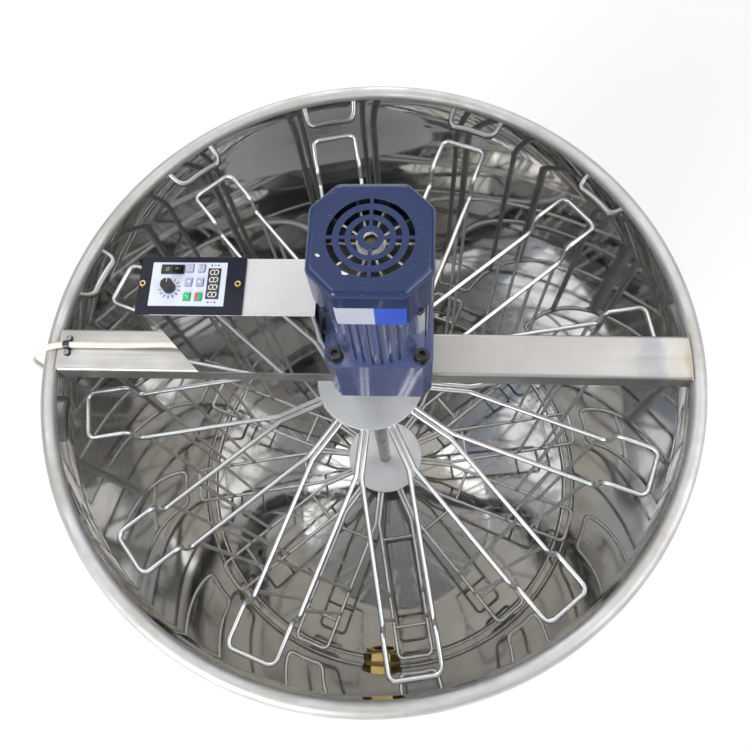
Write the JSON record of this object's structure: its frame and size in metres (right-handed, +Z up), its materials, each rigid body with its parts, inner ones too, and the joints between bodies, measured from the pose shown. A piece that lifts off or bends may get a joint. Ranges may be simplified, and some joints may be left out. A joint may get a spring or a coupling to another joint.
{
  "type": "honey extractor",
  "caption": "Electric radial honey extractor: polished drum on legs, wire frame basket on a driven shaft, cross beam with gear motor and control box, brass honey gate.",
  "frame": {"origin": "on the floor at the drum axis, the centre of the anchor hole circle", "axes": "+Z up, +X along the cross beam towards the motor side, -Y towards the honey gate"},
  "size_m": [0.7599, 0.8188, 1.2],
  "materials": {
    "steel_polished": "mirror polished stainless steel",
    "steel_plain": "plain stainless steel",
    "steel_wire": "stainless steel rod, electropolished",
    "steel_bolt": "zinc plated steel",
    "motor_paint": "blue grey semi gloss enamel",
    "cover_paint": "blue enamel on sheet steel",
    "black_plastic": "matte black plastic",
    "face_paint": "dark navy powder coat",
    "panel_film": "pale printed film",
    "grey_key": "grey blue key cap",
    "green_key": "green key cap",
    "red_key": "red and green key cap",
    "display_glass": "dark display window",
    "brass": "cast and turned brass",
    "clip_steel": "blackened steel strip",
    "cable_pvc": "cream white flexible sheath",
    "pom": "natural bearing plastic",
    "silicone": "food grade silicone",
    "cast_aluminium": "cast aluminium"
  },
  "bodies": {
    "stand": {"drum_wall": "steel_polished", "drum_bottom": "steel_polished", "leg_1": "steel_plain", "leg_2": "steel_plain", "leg_3": "steel_plain", "cross_beam": "steel_plain", "motor_plate": "steel_plain", "gear_case": "motor_paint", "gear_bolts": "steel_bolt", "gear_nuts": "steel_bolt", "motor_body": "motor_paint", "fan_cover": "cover_paint", "cover_screws": "steel_bolt", "bearing_cup": "steel_plain", "bearing_bush": "pom", "thrust_ball": "steel_bolt", "control_box": "steel_polished", "controller_case": "black_plastic", "face_plate": "face_paint", "panel_sheet": "panel_film", "display": "display_glass", "rocker_frame": "black_plastic", "plate_screws": "brass", "grommet": "cable_pvc", "cable": "cable_pvc", "cable_coil": "cable_pvc", "plug_body": "cable_pvc", "plug_pins": "steel_bolt", "cable_clip": "clip_steel", "clip_screws": "steel_bolt", "outlet_pipe": "brass", "lock_nut": "brass", "inner_seal": "silicone", "outer_seal": "silicone", "gate_body": "brass", "gate_pivot": "brass"},
    "basket": {"output_shaft": "steel_bolt", "shaft_coupling": "steel_plain", "coupling_screws": "steel_bolt", "main_shaft": "steel_plain", "upper_hub": "steel_plain", "lower_hub": "steel_plain", "upper_loops": "steel_wire", "lower_loops": "steel_wire", "uprights": "steel_wire", "rungs": "steel_wire"},
    "rotor": {"cooling_fan": "cast_aluminium", "rotor_shaft": "steel_bolt"},
    "speed_knob": {"knob": "black_plastic"},
    "power_rocker": {"rocker": "black_plastic"},
    "gate_flap": {"gate_plate": "brass"},
    "wing_nut": {"gate_wing": "brass"},
    "press_1": {"key_1": "grey_key"},
    "press_2": {"key_2": "grey_key"},
    "press_3": {"key_3": "grey_key"},
    "press_4": {"key_4": "grey_key"},
    "press_5": {"key_5": "green_key"},
    "press_6": {"key_6": "red_key"}
  },
  "joints": [
    {"name": "basket_spin", "type": "hinge", "parent": "stand", "child": "basket", "pos_m": [0, 0, 0.857], "axis": [0, 0, 1], "continuous": true},
    {"name": "fan_spin", "type": "hinge", "parent": "stand", "child": "rotor", "pos_m": [0.02, 0, 1.15], "axis": [0, 0, 1], "continuous": true},
    {"name": "knob_turn", "type": "hinge", "parent": "stand", "child": "speed_knob", "pos_m": [-0.1676, 0, 1.10804], "axis": [0, 0, 1], "range_deg": [-150, 150]},
    {"name": "rocker_tilt", "type": "hinge", "parent": "stand", "child": "power_rocker", "pos_m": [-0.1665, 0.0188, 1.10754], "axis": [0, 1, 0], "range_deg": [0, 16]},
    {"name": "gate_open", "type": "hinge", "parent": "stand", "child": "gate_flap", "pos_m": [0.042, -0.38602, 0.333], "axis": [0, 1, 0], "range_deg": [0, 95]},
    {"name": "wing_turn", "type": "hinge", "parent": "stand", "child": "wing_nut", "pos_m": [-0.042, -0.38602, 0.333], "axis": [0, -1, 0], "continuous": true},
    {"name": "key_press_1", "type": "slide", "parent": "stand", "child": "press_1", "axis": [0, 0, -1], "range_m": [0, 0.0006]},
    {"name": "key_press_2", "type": "slide", "parent": "stand", "child": "press_2", "axis": [0, 0, -1], "range_m": [0, 0.0006]},
    {"name": "key_press_3", "type": "slide", "parent": "stand", "child": "press_3", "axis": [0, 0, -1], "range_m": [0, 0.0006]},
    {"name": "key_press_4", "type": "slide", "parent": "stand", "child": "press_4", "axis": [0, 0, -1], "range_m": [0, 0.0006]},
    {"name": "key_press_5", "type": "slide", "parent": "stand", "child": "press_5", "axis": [0, 0, -1], "range_m": [0, 0.0006]},
    {"name": "key_press_6", "type": "slide", "parent": "stand", "child": "press_6", "axis": [0, 0, -1], "range_m": [0, 0.0006]}
  ],
  "couplings": [
    {"joint": "fan_spin", "follows": "basket_spin", "ratio": -5}
  ]
}
